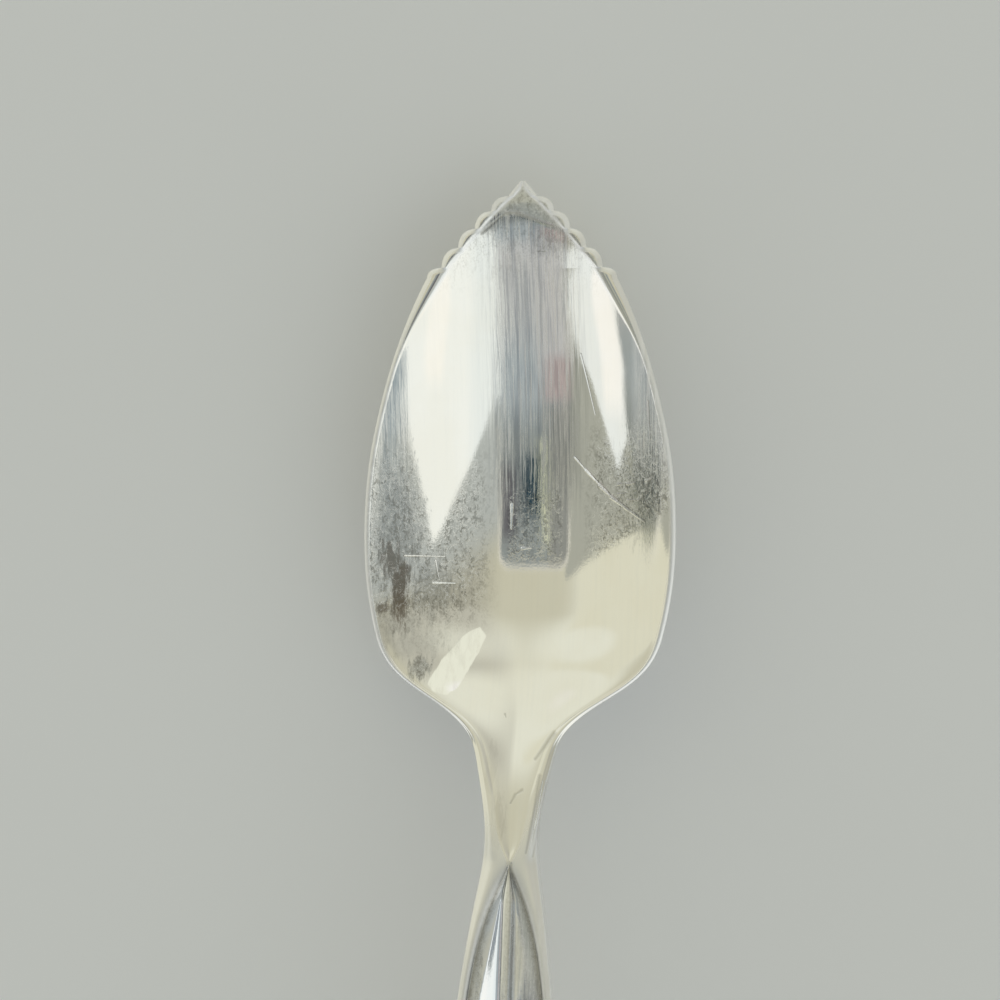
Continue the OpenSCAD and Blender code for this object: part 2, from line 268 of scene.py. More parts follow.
def upper_sink(s, x):
    """Height of the upper side below the crest at distance x from the middle. Both are arrays of one shape."""
    w, b = half_width(s), hollow_half(s)
    end_fade = closing(s, SPOON_L - END_BORDER)
    faded = 1 - CREASE_FADE * between(s, CREASE_IN, CREASE_OUT)
    inner = zones(s, RIM_ROUND, RIM_ROUND, GROOVE_D) * np.where(s < NECK_END, 1, end_fade) * faded
    across = np.clip((x - b) / (w - b), 0, 1)
    land = np.where(across < CREST_SHARE, inner * (1 - across / CREST_SHARE) ** 2,
                    outer_drop(s) * ((across - CREST_SHARE) / (1 - CREST_SHARE)) ** 2)
    at_shoulder = between(s, SHOULDER_IN, SHOULDER_OUT)
    power = zones(s, DISH_POWER, TONGUE_POWER, TONGUE_POWER) - SHOULDER_POWER_CUT * at_shoulder
    inside = np.clip(x / b, 0, 1)
    eased = (1 + WALL_EASE * step(s, *WALL_IN)
             + SHOULDER_EASE * between(s, SHOULDER_EASE_IN, (BOWL_L, NECK_END)))
    deep = hollow_depth(np.minimum(s, NECK_END)) * (1 - SHOULDER_FILL * at_shoulder)
    dish = inner + np.maximum(0, deep - inner) * (1 - inside ** power) ** eased
    ridge = ridge_half(b)
    on_ridge = GROOVE_D * ridge / (RIDGE_W / 2) * np.sqrt(1 - np.clip(x / ridge, 0, 1) ** 2)
    flute_deep = FLUTE_D * (1 - np.exp(-(b - ridge) / (FLUTE_GROWTH * FLUTE_D)))
    in_flute = flute_deep * np.sin(np.pi * np.clip((x - ridge) / (b - ridge), 0, 1) ** FLUTE_LEAN)
    panel = inner + np.where(x < ridge, -on_ridge, in_flute) * end_fade
    return np.where(x > b, land, np.where(s < NECK_END, dish, panel))


def lower_sink(s, x):
    """Depth of the underside below the crest at distance x from the middle."""
    core = core_half(s)
    side = outer_drop(s) + zones(s, RIM_EDGE, NECK_EDGE, HANDLE_EDGE)
    middle = thickness(s) + np.where(s < NECK_END, hollow_depth(np.minimum(s, NECK_END)), 0)
    power = zones(s, DISH_POWER, DISH_POWER, BACK_POWER)
    fullness = np.minimum(1, 2 * core / NECK_W)
    return side + np.maximum(0, middle - side) * fullness * (1 - np.clip(x / core, 0, 1) ** power)


# Numbers of steps along each stretch of the spoon and across it
POINT_STEPS = 16
TOOTH_STEPS = 16
SHOULDER_STEPS = 12
BOWL_STEPS = 130
NECK_STEPS = 40
PANEL_STEPS = 36
HANDLE_STEPS = 100
END_STEPS = 36
RIDGE_COLUMNS = 10
HOLLOW_COLUMNS = 38
LAND_COLUMNS = 14
SIDE_COLUMNS = 7
# Radius by which the polished edges are rounded, in the bowl, the neck and the handle, and the largest share
# of the half width that it takes
EDGE_ROUNDS = (0.07, 0.4, 0.28)
EDGE_SHARE = 0.3
# Power of the rounded side, 1 for a half round and nearer 0 for a square one
SIDE_POWER = 0.65
# Points on the outline from which distances are measured: at the blunt tip, on each tooth and farther back
OUTLINE_POINTS = 60, 90, 500


def rounding(start, end, steps):
    """Places that crowd towards the start, as along a quarter round."""
    return start + (end - start) * (1 - np.cos(np.pi / 2 * np.arange(steps) / steps))


def evenly(start, end, steps):
    return start + (end - start) * np.arange(steps) / steps


def stations():
    """Distances from the tip at which the skin has its cross sections, and where the three pieces are cut."""
    teeth = [rounding(VALLEY_S[k], VALLEY_S[k + 1], TOOTH_STEPS) for k in range(TEETH)]
    smooth = SERRATED_L + SHOULDER_L
    opened = NECK_END + PANEL_OPEN_L
    bowl = np.concatenate([evenly(0, POINT_L, POINT_STEPS), *teeth,
                           rounding(SERRATED_L, smooth, SHOULDER_STEPS), evenly(smooth, BOWL_L, BOWL_STEPS)])
    neck = evenly(BOWL_L, NECK_END, NECK_STEPS)
    end = END_START + END_L * np.sin(np.pi / 2 * np.arange(END_STEPS + 1) / END_STEPS)
    handle = np.concatenate([rounding(NECK_END, opened, PANEL_STEPS),
                             evenly(opened, END_START, HANDLE_STEPS), end])
    return np.concatenate([bowl, neck, handle]), len(bowl), len(bowl) + len(neck)


def edge_distance(s, x):
    """Distance to the outline of the bowl's front, all round each tooth, and to the rim farther back."""
    at_tip, at_tooth, behind = OUTLINE_POINTS
    teeth = [rounding(VALLEY_S[k], VALLEY_S[k + 1], at_tooth) for k in range(TEETH)]
    edge_s = np.concatenate([evenly(0, POINT_L, at_tip), *teeth,
                             evenly(SERRATED_L, SERRATED_L + 2 * NARROWING_L, behind)])
    edge_x = half_width(edge_s)
    distance = half_width(s) - x
    near = s < SERRATED_L + NARROWING_L
    distance[near] = np.min(np.hypot(s[near][:, None] - edge_s, x[near][:, None] - edge_x), axis=1)
    return distance


def bevelled(s, x, sink):
    """Upper side with the ground bevel that follows the outline of the teeth."""
    fade = 1 - step(s, SERRATED_L, SERRATED_L + NARROWING_L)
    ground = (TOOTH_BEVEL - RIM_ROUND) * (1 - np.clip(edge_distance(s, x) / TOOTH_BEVEL_W, 0, 1))
    across = np.clip((x - hollow_half(s)) / (half_width(s) - hollow_half(s)), 0, 1)
    plain = (TOOTH_BEVEL - RIM_ROUND) * (np.clip(across - CREST_SHARE, 0, 1) / (1 - CREST_SHARE)) ** 2
    return sink + (ground - plain) * fade


def skin():
    """Points of the whole skin in metres, as rings by points by three."""
    s, _, _ = stations()
    w, b = half_width(s), hollow_half(s)
    edge = np.minimum(zones(s, *EDGE_ROUNDS), EDGE_SHARE * w)
    ridge = ridge_half(b)
    plain = np.linspace(0, 1, RIDGE_COLUMNS + HOLLOW_COLUMNS + 1)[None, :] * b[:, None]
    on_ridge = ridge[:, None] * np.sin(np.pi / 2 * np.arange(RIDGE_COLUMNS + 1) / RIDGE_COLUMNS)[None, :]
    in_flute = ridge[:, None] + (b - ridge)[:, None] * (np.arange(HOLLOW_COLUMNS) + 1)[None, :] / HOLLOW_COLUMNS
    fluted = step(s, NECK_END - NECK_L / 5, NECK_END)[:, None]
    hollow = plain * (1 - fluted) + np.hstack([on_ridge, in_flute]) * fluted
    land = b[:, None] + (w - edge - b)[:, None] * (np.arange(LAND_COLUMNS) + 1)[None, :] / LAND_COLUMNS
    half = np.hstack([hollow, land])
    across = np.hstack([-half[:, :0:-1], half])
    place = np.repeat(s[:, None], across.shape[1], axis=1)
    crest = crest_height(s)[:, None]
    top = crest - bevelled(place, np.abs(across), upper_sink(place, np.abs(across)))
    low = crest - lower_sink(place, np.abs(across))
    turn = np.pi * (np.arange(SIDE_COLUMNS) + 1) / (SIDE_COLUMNS + 1)
    out = np.sin(turn) ** SIDE_POWER
    up = np.sign(np.cos(turn)) * np.abs(np.cos(turn)) ** SIDE_POWER
    middle = (top[:, -1] + low[:, -1])[:, None] / 2
    tall = (top[:, -1] - low[:, -1])[:, None] / 2
    side_x = (w - edge)[:, None] + edge[:, None] * out[None, :]
    side_z = middle + tall * up[None, :]
    x = np.hstack([across, side_x, across[:, ::-1], -side_x[:, ::-1]])
    z = np.hstack([top, side_z, low[:, ::-1], side_z[:, ::-1]])
    y = np.repeat((SPOON_L / 2 - s)[:, None], x.shape[1], axis=1)
    return np.clip(np.stack([x, y, z], axis=2) * MM, *CAD_BOX)


def unit_normals(points):
    """Normals of the whole skin, so that the polish runs on unbroken over the cuts between the pieces."""
    beside = np.roll(points, -1, axis=1)
    faces = np.cross(points[1:] - beside[:-1], beside[1:] - points[:-1])
    faces = faces + np.roll(faces, 1, axis=1)
    normals = np.zeros_like(points)
    normals[1:] += faces
    normals[:-1] += faces
    return normals / np.linalg.norm(normals, axis=2, keepdims=True)


def wedge(x, s, tip, left_slope, right_slope):
    """1 inside the pointed shape that opens from its tip towards the spoon's point, 0 outside."""
    short = tip[1] - s
    left = step(x - tip[0] + left_slope * short, -WEDGE_SOFT, WEDGE_SOFT)
    right = step(tip[0] + right_slope * short - x, -WEDGE_SOFT, WEDGE_SOFT)
    return left * right * step(short, -WEDGE_TIP_SOFT, WEDGE_TIP_SOFT)


def patch(across, s, amount, reach, come, go):
    """The amount inside a patch that starts over its reach across the spoon, and comes and goes along it."""
    return amount * step(across, *reach) * between(s, come, go)


def flute_lean(side_x, s, b):
    """1 on the face of the left flute that leans towards the window."""
    edge = np.minimum(LEAN_X + LEAN_SLOPE * (s - LEAN_S), b - LEAN_BORDER)
    return patch(-side_x, s, *LEANING) * (1 - step(-side_x, edge - LEAN_SOFT, edge + LEAN_SOFT))


def specks(side_x, s, facet):
    """Where specks and tarnish lie: on the bowl's sides, low in its middle, on the handle and at the point."""
    slanted = SLANT_S + SLANT * (side_x - SLANT_X)
    left = patch(-side_x, s, *LEFT_SPECKS)
    right = patch(side_x, s, *RIGHT_SPECKS, (slanted + SLANT_EDGE[0], slanted + SLANT_EDGE[1]))
    clean = np.maximum(*(wedge(side_x, s, *shape) for shape in CLEAN_WEDGES))
    foot = patch(side_x, s, *FOOT_SPECKS) * (1 - step(side_x, *FOOT_END))
    handle = HANDLE_SPECKS * step(side_x, *HANDLE_SPECKS_X) * step(s, *HANDLE_SPECKS_IN)
    handle = handle * (1 - HANDLE_SPECKS_FADE * step(s, *HANDLE_SPECKS_OUT))
    front = np.maximum(FACET_SPECKS * facet, FRONT_SPECKS * (1 - step(s, *FRONT_OUT)))
    return np.maximum(np.maximum(left, right) * (1 - clean), np.maximum(np.maximum(foot, handle), front))


def marks(points):
    """Values from 0 to 1 that the finish is painted by."""
    s = SPOON_L / 2 - points[:, :, 1] / MM
    side_x = points[:, :, 0] / MM
    x = np.abs(side_x)
    w, b = half_width(s), hollow_half(s)
    upper = np.zeros(x.shape)
    columns = 2 * (RIDGE_COLUMNS + HOLLOW_COLUMNS + LAND_COLUMNS) + 1
    upper[:, :columns + SIDE_COLUMNS // 2] = 1
    upper[:, -(SIDE_COLUMNS // 2):] = 1
    fluted = step(s, *FLUTED)
    at_border = np.exp(-((x - b) / GROOVE_W) ** 2)
    at_ridge = RIDGE_GROOVE * np.exp(-((x - ridge_half(b)) / (GROOVE_W / 2)) ** 2)
    at_ridge = at_ridge * step(s, NECK_END, NECK_END + PANEL_OPEN_L)
    facet = 1 - step(s - FACET_LEAN * side_x, FACET_L - FACET_SOFT, FACET_L + FACET_SOFT)
    rim = (1 - step(edge_distance(s, x), *LAND_EDGE)) * (1 - step(s, TONGUE_START, BOWL_L))
    border = BORDER_HAZE * step(x, b, b + BORDER_SOFT) * step(s, BOWL_L, NECK_END)
    lip = LIP_HAZE * np.exp(-((x - b) / LIP_W) ** 2) * (1 - step(s, *LIP_OUT))
    middle = np.exp(-((side_x - BRUSHED_X) / BRUSHED_W) ** BRUSHED_POWER) * (1 - step(s, *BRUSHED_OUT))
    along_handle = HANDLE_STREAKS * step(side_x, *HANDLE_STREAKS_X) * step(s, *HANDLE_STREAKS_IN)
    return {
        "upper": upper,
        "groove": upper * fluted * np.maximum(at_border, at_ridge),
        # The band along the outline is worn, and is lightened with painted highlight.
        "worn_highlight": np.exp(-((w - x) / WORN_HIGHLIGHT_W) ** 2),
        "land": upper * np.maximum(np.maximum(border, rim),
                                   np.maximum(patch(side_x, s, *RIGHT_HAZE), lip)),
        "facet": upper * facet,
        "turned": upper * flute_lean(side_x, s, b),
        "panel": upper * fluted * (1 - step(x, b - PANEL_SOFT, b)),
        "brushed": upper * (1 - facet) * np.maximum(np.maximum(patch(x, s, *EDGE_STREAKS), middle),
                                                    along_handle),
        "speckled": upper * specks(side_x, s, facet),
    }


def make_piece(name, points, normals, values):
    """Closed mesh of a run of rings, with a flat cap at either end."""
    rings, columns = points.shape[:2]
    number = np.arange(rings * columns).reshape(rings, columns)
    beside = np.roll(number, -1, axis=1)
    skin_faces = np.stack([number[:-1], number[1:], beside[1:], beside[:-1]], axis=2).reshape(-1, 4).tolist()
    corner_normals = normals.reshape(-1, 3)[np.array(skin_faces).ravel()].tolist()
    side_middle = columns - (SIDE_COLUMNS + 1) // 2
    for ring, facing in ((0, 1), (-1, -1)):
        over = [int(number[ring, (side_middle + k) % columns]) for k in range(columns // 2 + 1)]
        under = [int(number[ring, (side_middle - k) % columns]) for k in range(columns // 2 + 1)]
        for k in range(columns // 2):
            corners = list(dict.fromkeys([over[k], over[k + 1], under[k + 1], under[k]]))
            skin_faces.append(corners if facing > 0 else corners[::-1])
            corner_normals += [[0, facing, 0]] * len(corners)
    mesh = bpy.data.meshes.new(name)
    mesh.from_pydata(points.reshape(-1, 3).tolist(), [], skin_faces)
    mesh.polygons.foreach_set("use_smooth", [True] * len(mesh.polygons))
    mesh.normals_split_custom_set(corner_normals)
    for key, value in values.items():
        mesh.attributes.new(key, "FLOAT", "POINT").data.foreach_set("value", value.ravel().astype(np.float32))
    piece = bpy.data.objects.new(name, mesh)
    bpy.context.scene.collection.objects.link(piece)
    return piece


# Short ways to write shader nodes

def add(tree, kind, inputs=None, **settings):
    """Adds a node, sets it up, and fills its inputs with values or links."""
    node = tree.nodes.new(kind)
    for key, value in settings.items():
        setattr(node, key, value)
    for key, value in (inputs or {}).items():
        if isinstance(value, bpy.types.NodeSocket):
            tree.links.new(value, node.inputs[key])
        else:
            node.inputs[key].default_value = value
    return node


def calc(tree, operation, *values, clamp=False):
    return add(tree, "ShaderNodeMath", dict(enumerate(values)), operation=operation, use_clamp=clamp).outputs[0]


def times(tree, first, second):
    return calc(tree, "MULTIPLY", first, second)


def span(tree, value, low, high, out_low=0.0, out_high=1.0):
    """Smooth passage from out_low, where value is low, to out_high, where it is high."""
    return add(tree, "ShaderNodeMapRange", {0: value, 1: low, 2: high, 3: out_low, 4: out_high},
               interpolation_type="SMOOTHSTEP").outputs[0]


def blend(tree, share, first, second):
    return add(tree, "ShaderNodeMix", {0: share, 6: first, 7: second}, data_type="RGBA").outputs[2]


def noise(tree, place, size, detail=2.0, roughness=0.5, distortion=0.0):
    """Noise whose grain is about size mm, which may be one number or one for each direction."""
    scale = [1 / size] * 3 if isinstance(size, (int, float)) else [1 / value for value in size]
    stretched = add(tree, "ShaderNodeMapping", {0: place, 3: scale}).outputs[0]
    return add(tree, "ShaderNodeTexNoise", {"Vector": stretched, "Scale": 1.0, "Detail": detail,
                                            "Roughness": roughness, "Distortion": distortion}).outputs[0]


def bump(tree, height, depth, normal):
    """Normal that is bent by a height map whose full height is depth mm."""
    return add(tree, "ShaderNodeBump", {"Strength": 1.0, "Distance": depth * MM, "Height": height,
                                        "Normal": normal}).outputs[0]


def attribute(tree, name):
    return add(tree, "ShaderNodeAttribute", attribute_name=name).outputs["Fac"]


def line_group():
    """Node group for one line, used for scratches and for creases of painted shade: 1 on the line from Start to
    End, 0 beyond Width, which tapers.
    """
    group = bpy.data.node_groups.new("scratch_and_shade_line", "ShaderNodeTree")
    for name, kind in (("Place", "Vector"), ("Start", "Vector"), ("End", "Vector"), ("Width", "Float")):
        group.interface.new_socket(name, in_out="INPUT", socket_type="NodeSocket" + kind)
    group.interface.new_socket("Mark", in_out="OUTPUT", socket_type="NodeSocketFloat")
    given = group.nodes.new("NodeGroupInput").outputs

    def vector(operation, *values):
        return add(group, "ShaderNodeVectorMath", dict(enumerate(values)), operation=operation)

    run = vector("SUBTRACT", given["End"], given["Start"]).outputs[0]
    off = vector("SUBTRACT", given["Place"], given["Start"]).outputs[0]
    share = calc(group, "DIVIDE", vector("DOT_PRODUCT", off, run).outputs[1],
                 vector("DOT_PRODUCT", run, run).outputs[1], clamp=True)
    near = add(group, "ShaderNodeVectorMath", {0: run, "Scale": share}, operation="SCALE").outputs[0]
    away = vector("LENGTH", vector("SUBTRACT", off, near).outputs[0]).outputs[1]
    thin = calc(group, "MULTIPLY", given["Width"], span(group, share, 0.0, 1.0, 1.0, LINE_TAPER))
    mark = calc(group, "SUBTRACT", 1.0, calc(group, "DIVIDE", away, thin), clamp=True)
    result = group.nodes.new("NodeGroupOutput")
    group.links.new(mark, result.inputs[0])
    return group


def line_mask(tree, flat, lines):
    """1 on the given lines, 0 off them."""
    mark = 0.0
    for start, end, width in lines:
        line = add(tree, "ShaderNodeGroup", node_tree=SCRATCH_AND_SHADE_LINE)
        for key, value in (("Start", (*start, 0)), ("End", (*end, 0)), ("Width", width)):
            line.inputs[key].default_value = value
        tree.links.new(flat, line.inputs["Place"])
        mark = calc(tree, "MAXIMUM", mark, line.outputs[0])
    return mark


def patch_mask(tree, place, flat, patches):
    """Up to 1 in the given patches, whose outlines are ragged."""
    stain = 0.0
    rag = calc(tree, "MULTIPLY_ADD", noise(tree, place, *RAG_GRAIN), RAG_SWING, -RAG_SWING / 2)
    for centre, size, strength in patches:
        off = add(tree, "ShaderNodeMapping", {0: flat, 1: tuple(-c / r for c, r in zip(centre, size)) + (0,),
                                              3: tuple(1 / r for r in size) + (0,)}).outputs[0]
        away = add(tree, "ShaderNodeVectorMath", {0: off}, operation="LENGTH").outputs[1]
        inner = span(tree, calc(tree, "ADD", away, rag), *PATCH_EDGE, 1.0, 0.0)
        stain = calc(tree, "MAXIMUM", stain, times(tree, inner, strength))
    return stain


def leaning(tree, turns):
    """The surface's normal, leant over by each turn where its share is 1."""
    normal = add(tree, "ShaderNodeNewGeometry").outputs["Normal"]
    tilt = add(tree, "ShaderNodeVectorMath", {0: normal}, operation="ADD")
    for share, turn in turns:
        part = add(tree, "ShaderNodeVectorMath", {0: turn, "Scale": share}, operation="SCALE").outputs[0]
        tree.links.new(part, tilt.inputs[1])
        tilt = add(tree, "ShaderNodeVectorMath", {0: tilt.outputs[0]}, operation="ADD")
    tilt.inputs[1].default_value = (0, 0, 0)
    return add(tree, "ShaderNodeVectorMath", {0: tilt.outputs[0]}, operation="NORMALIZE").outputs[0]


def painted(tree, colour, coats):
    """The colour under coats of paint, each given as where it lies, how strong it is and its paint."""
    for share, strength, paint in coats:
        colour = blend(tree, times(tree, share, strength), colour, paint)
    return colour


def silver(name, scratches=(), shaded_creases=(), patches=(), browns=(), glint=()):
    """Polished silver plate: polishing streaks, hairlines, specks and tarnish, with its own scratches; painted
    highlight lightens the scratches, the worn outline and a glint of painted reflection, and painted shade
    darkens its creases.

    The nodes are made in the order in which they stand here. In another order the bowl came out black.
    """
    material = bpy.data.materials.new(name)
    material.use_nodes = True
    tree = material.node_tree
    tree.nodes.clear()
    place = add(tree, "ShaderNodeMapping", {0: add(tree, "ShaderNodeTexCoord").outputs["Object"],
                                            1: (0, SPOON_L / 2, 0), 3: (1 / MM, -1 / MM, 1 / MM)}).outputs[0]
    flat = add(tree, "ShaderNodeVectorMath", {0: place, 1: (1, 1, 0)}, operation="MULTIPLY").outputs[0]
    upper, groove, worn_highlight, land, facet, brushed, speckled, turned, panel = (
        attribute(tree, key) for key in (
            "upper", "groove", "worn_highlight", "land", "facet", "brushed", "speckled", "turned", "panel"))
    cloud, streak, fine_streak, wide_streak, speck, blot, smear, curl = (
        noise(tree, place, *grain) for grain in GRAINS.values())
    swirl = calc(tree, "ABSOLUTE", calc(tree, "SUBTRACT", curl, 0.5))
    tarnished = span(tree, cloud, *TARNISHED_AT)
    # Scratches: their relief and roughness are real, their lighter colour is painted highlight.
    mark = times(tree, calc(tree, "MULTIPLY", line_mask(tree, flat, scratches), LINE_SHARP, clamp=True), upper)
    # The creases' relief is real; their dark colour is painted shade.
    crease_shade = times(tree, line_mask(tree, flat, shaded_creases), upper)
    stain = times(tree, patch_mask(tree, place, flat, patches), upper)
    # Brown patches: tarnish in the bowl, and painted shade beside the tongue in the neck.
    brown = times(tree, patch_mask(tree, place, flat, browns), upper)
    shine = 0.0
    # The glint is a painted reflection: lighter colour, a leaning shading normal and no specks inside its
    # corners.
    if glint:
        across, along, _ = add(tree, "ShaderNodeSeparateXYZ", {0: place}).outputs
        ragged = calc(tree, "MULTIPLY_ADD", smear, GLINT_RAG, calc(tree, "SUBTRACT", across, GLINT_RAG / 2))
        shine = times(tree, inside(tree, ragged, along, glint, GLINT_SOFT), upper)
    scuff = times(tree, brushed, span(tree, fine_streak, *SCUFF_AT))
    dark_streak = times(tree, brushed, span(tree, wide_streak, *DARK_STREAK_AT))
    thin_streak = times(tree, brushed, span(tree, fine_streak, *THIN_STREAK_AT))
    patchy = times(tree, times(tree, speckled, span(tree, smear, *PATCHY_AT)),
                   calc(tree, "SUBTRACT", 1.0, shine))
    dirty = calc(tree, "MAXIMUM", patchy, calc(tree, "MAXIMUM", stain, times(tree, groove, GROOVE_DIRT)))
    dots = calc(tree, "MULTIPLY_ADD", speck, SPECK_SHARE, times(tree, blot, 1 - SPECK_SHARE))
    grain = times(tree, dirty, span(tree, dots, *GRAIN_AT))
    pale = times(tree, calc(tree, "MAXIMUM", speckled, stain),
                 times(tree, span(tree, swirl, 0.0, SWIRL_W, 1.0, 0.0), span(tree, blot, *PALE_AT)))

    colour = painted(tree, SILVER, [(tarnished, 0.25, TARNISH)])
    colour = painted(tree, colour, [
        (span(tree, streak, *GREY_STREAK_AT), 0.09, GREY_STREAK), (panel, 0.9, PANEL_SILVER),
        (dark_streak, 0.6, DARK_STREAK), (thin_streak, 0.5, DARK_STREAK), (facet, 0.85, FACET_GREY),
        (stain, 0.7, TARNISH_GREY), (brown, 0.9, BROWN_TARNISH_AND_SHADE), (pale, 0.35, LAND_PALE)])
    # Painted highlight lightens the glint, the scratches and the worn outline; painted shade darkens the
    # creases.
    colour = painted(tree, colour, [
        (shine, span(tree, smear, *SHINE_AT), PAINTED_HIGHLIGHT), (grain, 0.75, SPECK_DARK),
        (groove, 0.75, GROOVE_GRIME_AND_SHADE), (land, 0.9, LAND_PALE), (mark, 0.6, PAINTED_HIGHLIGHT),
        (crease_shade, 0.42, GROOVE_GRIME_AND_SHADE), (worn_highlight, 0.5, EDGE_HIGHLIGHT)])

    rough = calc(tree, "MULTIPLY_ADD", streak, STREAK_ROUGH, POLISH_ROUGH)
    for share, amount in ((tarnished, 0.02), (scuff, 0.34), (stain, 0.10), (grain, 0.06), (pale, 0.40),
                          (groove, 0.2), (facet, 0.30), (land, 0.38), (crease_shade, 0.2)):
        rough = calc(tree, "MULTIPLY_ADD", share, amount, rough)
    rough = calc(tree, "MULTIPLY_ADD", mark, MARK_ROUGH, rough, clamp=True)

    facing = leaning(tree, ((turned, FLUTE_TURN), (mark, SCRATCH_TURN), (shine, GLINT_TURN)))
    facing = bump(tree, noise(tree, place, *WAVE_GRAIN), WAVE_H, facing)
    hair = times(tree, fine_streak, calc(tree, "MULTIPLY_ADD", brushed, BRUSHED_HAIR, PLAIN_HAIR))
    facing = bump(tree, hair, HAIR_H, facing)
    height = calc(tree, "SUBTRACT", times(tree, grain, -GRAIN_DEPTH),
                  calc(tree, "MAXIMUM", mark, times(tree, crease_shade, CREASE_DEPTH)))
    height = calc(tree, "ADD", height, times(tree, speck, SPECK_HEIGHT))
    facing = bump(tree, height, CUT_H, facing)
    surface = add(tree, "ShaderNodeBsdfPrincipled", {"Base Color": colour, "Metallic": 1.0, "Roughness": rough,
                                                     "Normal": facing})
    add(tree, "ShaderNodeOutputMaterial", {0: surface.outputs[0]})
    return material


def inside(tree, u, v, corners, softness):
    """1 inside a convex shape whose corners go anticlockwise, 0 outside it."""
    share = 1.0
    for (u0, v0), (u1, v1) in zip(corners, corners[1:] + corners[:1]):
        run = math.hypot(u1 - u0, v1 - v0)
        nu, nv = (v0 - v1) / run, (u1 - u0) / run
        depth = calc(tree, "MULTIPLY_ADD", u, nu, calc(tree, "MULTIPLY_ADD", v, nv, -(nu * u0 + nv * v0)))
        share = times(tree, share, span(tree, depth, -softness, softness))
    return share


def make_world():
    """Soft room light: a cream dome, two bright windows low behind the handle, and a dim column between."""
    world = bpy.data.worlds.new("soft_room")
    bpy.context.scene.world = world
    world.use_nodes = True
    tree = world.node_tree
    tree.nodes.clear()
    seen = add(tree, "ShaderNodeTexCoord").outputs["Generated"]
    direction = add(tree, "ShaderNodeSeparateXYZ", {0: seen}).outputs
    lifted = calc(tree, "MAXIMUM", calc(tree, "ADD", direction[2], 1.0), LEAST_LIFT)
    u = calc(tree, "DIVIDE", direction[0], lifted)
    v = calc(tree, "DIVIDE", direction[1], lifted)
    low = calc(tree, "SQRT", calc(tree, "MULTIPLY_ADD", u, u, times(tree, v, v)))
    light = DOME
    for corners, softness, colour, tints in PANELS:
        paint = colour
        for tint_corners, tint_softness, tint in tints:
            paint = blend(tree, inside(tree, u, v, tint_corners, tint_softness), paint, tint)
        light = blend(tree, inside(tree, u, v, corners, softness), light, paint)
    light = blend(tree, span(tree, low, *HORIZON_AT), light, HORIZON)
    background = add(tree, "ShaderNodeBackground", {0: light, 1: 1.0})
    add(tree, "ShaderNodeOutputWorld", {0: background.outputs[0]})


def make_floor():
    """Pale matt table top."""
    mesh = bpy.data.meshes.new("floor")
    reach = FLOOR_W / 2
    corners = [(-reach, -reach, 0), (reach, -reach, 0), (reach, reach, 0), (-reach, reach, 0)]
    mesh.from_pydata(corners, [], [(0, 1, 2, 3)])
    floor = bpy.data.objects.new("floor", mesh)
    bpy.context.scene.collection.objects.link(floor)
    floor.location.z = CAD_BOX[0][2]
    material = bpy.data.materials.new("floor_paint")
    material.use_nodes = True
    tree = material.node_tree
    tree.nodes.clear()
    metres = add(tree, "ShaderNodeTexCoord").outputs["Object"]
    place = add(tree, "ShaderNodeMapping", {0: metres, 3: (1 / MM,) * 3}).outputs[0]
    darker = (*(FLOOR_CLOUDS * part for part in FLOOR_PAINT[:3]), 1)
    colour = blend(tree, noise(tree, place, *FLOOR_GRAIN), darker, FLOOR_PAINT)
    surface = add(tree, "ShaderNodeBsdfPrincipled", {"Base Color": colour, "Roughness": FLOOR_ROUGH})
    add(tree, "ShaderNodeOutputMaterial", {0: surface.outputs[0]})
    mesh.materials.append(material)


def make_camera():
    """Camera above the bowl, leant a little to the right, as the photograph was taken."""
    data = bpy.data.cameras.new("camera")
    data.sensor_width = SENSOR_W
    data.lens = SENSOR_W * CAMERA_AWAY / SEEN_W
    data.clip_start = 0.01
    camera = bpy.data.objects.new("camera", data)
    lean, roll = math.radians(CAMERA_LEAN), math.radians(CAMERA_ROLL)
    back = Vector((math.sin(lean), 0, math.cos(lean)))
    side = Vector((math.cos(lean), 0, -math.sin(lean)))
    up = Vector((0, 1, 0))
    right = side * math.cos(roll) + up * math.sin(roll)
    upward = up * math.cos(roll) - side * math.sin(roll)
    pose = Matrix((right, upward, back)).transposed().to_4x4()
    pose.translation = (Vector(CAMERA_AIM) + back * CAMERA_AWAY) * MM
    camera.matrix_world = pose
    bpy.context.scene.collection.objects.link(camera)
    bpy.context.scene.camera = camera


# Finish. Stretches are in mm, from the middle or from the tip.
# Dark grooves along the border and, fainter, along the ridge, where the fluting starts, and the worn outline,
# which is lightened with painted highlight
GROOVE_W = 0.45
RIDGE_GROOVE = 0.45
FLUTED = NECK_END - 0.5, NECK_END + 1.5
PANEL_SOFT = 0.3
WORN_HIGHLIGHT_W = 0.25
# Matt land: how far the rim's reaches in from the outline, the border of neck and handle, and the dish's lip
LAND_EDGE = 0.38, 0.53
BORDER_HAZE = 0.75
BORDER_SOFT = 0.25
LIP_HAZE = 0.85
LIP_W = 0.2
LIP_OUT = 8, 12
# Ground facet at the point: its length, how it leans, and the softness of its edge
FACET_L = 3.2
FACET_LEAN = 0.2
FACET_SOFT = 0.45
# Strongly brushed strip in the bowl: its middle, half width, the steepness of its sides and where it ends
BRUSHED_X = 0.8
BRUSHED_W = 4.2
BRUSHED_POWER = 6
BRUSHED_OUT = 24, 32
# Streaks along the handle
HANDLE_STREAKS = 0.4
HANDLE_STREAKS_X = -0.5, -0.3
HANDLE_STREAKS_IN = 60, 63
